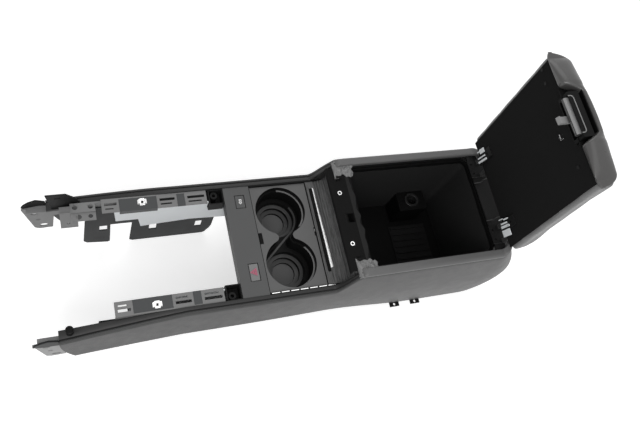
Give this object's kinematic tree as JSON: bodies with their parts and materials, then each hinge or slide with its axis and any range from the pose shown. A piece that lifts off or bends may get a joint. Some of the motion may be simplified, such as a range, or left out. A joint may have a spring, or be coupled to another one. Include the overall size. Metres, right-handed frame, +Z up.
{
  "type": "car center console",
  "caption": "Car center console with leather sides on two forward arms, twin cup well under a sliding shutter, switch panel and a storage bin under a hinged armrest lid.",
  "frame": {"origin": "centre of the floor bolts, on the floor face", "axes": "+X towards the rear of the console, +Y to its far side in the picture, +Z up"},
  "size_m": [0.963, 0.262, 0.6161],
  "materials": {
    "side_leather": "grained",
    "trim_dark": "matt",
    "rim_leather": "grained",
    "pale_liner": "matt",
    "bracket_grey": "matt",
    "cover_dark": "matt",
    "nose_dark": "matt",
    "black_plastic": "fine grain",
    "bright_metal": "polished",
    "steel": "satin",
    "panel_grey": "satin",
    "hazard_grey": "satin",
    "insert_grey": "satin",
    "shutter_grey": "grained",
    "liner_felt": "felt",
    "mat_rubber": "matt",
    "rear_grey": "matt",
    "lid_leather": "grained",
    "nose_leather": "grained",
    "lid_lining": "woven",
    "latch_grey": "satin"
  },
  "bodies": {
    "console": {"side_skin_near": "side_leather", "side_skin_far": "side_leather", "top_trim_near": "trim_dark", "top_trim_far": "trim_dark", "rim_roll_near": "rim_leather", "rim_roll_far": "rim_leather", "side_liner_near": "pale_liner", "side_liner_far": "pale_liner", "arm_bracket_near": "bracket_grey", "arm_bracket_far": "bracket_grey", "front_bracket_near": "bracket_grey", "front_bracket_far": "bracket_grey", "harness_bracket": "bracket_grey", "arm_cover_near": "cover_dark", "arm_cover_far": "cover_dark", "closeout_near": "cover_dark", "closeout_far": "cover_dark", "front_nose_near": "nose_dark", "front_nose_far": "nose_dark", "upper_tab": "nose_dark", "corner_box_near": "black_plastic", "corner_box_far": "black_plastic", "deck_frame": "black_plastic", "switch_housings": "black_plastic", "release_tab": "black_plastic", "track_near": "black_plastic", "track_far": "black_plastic", "storage_bin": "black_plastic", "bin_ledge": "black_plastic", "hinge_deck": "black_plastic", "push_pin": "black_plastic", "base_frame": "black_plastic", "side_clips": "black_plastic", "power_outlet": "black_plastic", "track_strip": "bright_metal", "ledge_screws": "bright_metal", "hinge_leaf_near": "bright_metal", "hinge_leaf_far": "bright_metal", "spring_clips": "steel", "hinge_springs": "steel", "hinge_pins": "steel", "switch_panel": "panel_grey", "cup_insert": "insert_grey", "shutter_curtain": "shutter_grey", "bin_liner": "liner_felt", "bin_mat": "mat_rubber", "rear_panel": "rear_grey"},
    "lid": {"lid_pad": "lid_leather", "lid_nose": "nose_leather", "lid_inner": "lid_lining", "hinge_arms": "bright_metal", "latch_housing": "black_plastic", "lid_clip": "bright_metal", "lid_bumpers": "mat_rubber"},
    "handle": {"latch_handle": "latch_grey"},
    "hook": {"latch_hook": "latch_grey"},
    "shutter": {"shutter_lead": "shutter_grey", "shutter_handle": "bright_metal"},
    "hazard_button": {"hazard_switch": "hazard_grey"},
    "second_button": {"second_switch": "panel_grey"}
  },
  "joints": [
    {"name": "lid_hinge", "type": "hinge", "parent": "console", "child": "lid", "pos_m": [0.119, 0, 0.293], "axis": [0, -1, 0], "range_deg": [0, 86]},
    {"name": "latch_handle_turn", "type": "hinge", "parent": "lid", "child": "handle", "pos_m": [0.08957, 0, 0.59919], "axis": [0, 1, 0], "range_deg": [0, 10], "stiffness_Nm_per_rad": 0.3},
    {"name": "latch_hook_turn", "type": "hinge", "parent": "lid", "child": "hook", "pos_m": [0.08325, 0, 0.58923], "axis": [0, -1, 0], "range_deg": [0, 12], "stiffness_Nm_per_rad": 0.1},
    {"name": "shutter_slide", "type": "slide", "parent": "console", "child": "shutter", "axis": [-1, 0, 0], "range_m": [0, 0.108]},
    {"name": "hazard_press", "type": "slide", "parent": "console", "child": "hazard_button", "axis": [0, 0, -1], "range_m": [0, 0.002], "stiffness_N_per_m": 800},
    {"name": "second_press", "type": "slide", "parent": "console", "child": "second_button", "axis": [0, 0, -1], "range_m": [0, 0.002], "stiffness_N_per_m": 800}
  ],
  "couplings": [
    {"joint": "latch_hook_turn", "follows": "latch_handle_turn", "ratio": 1.2}
  ]
}
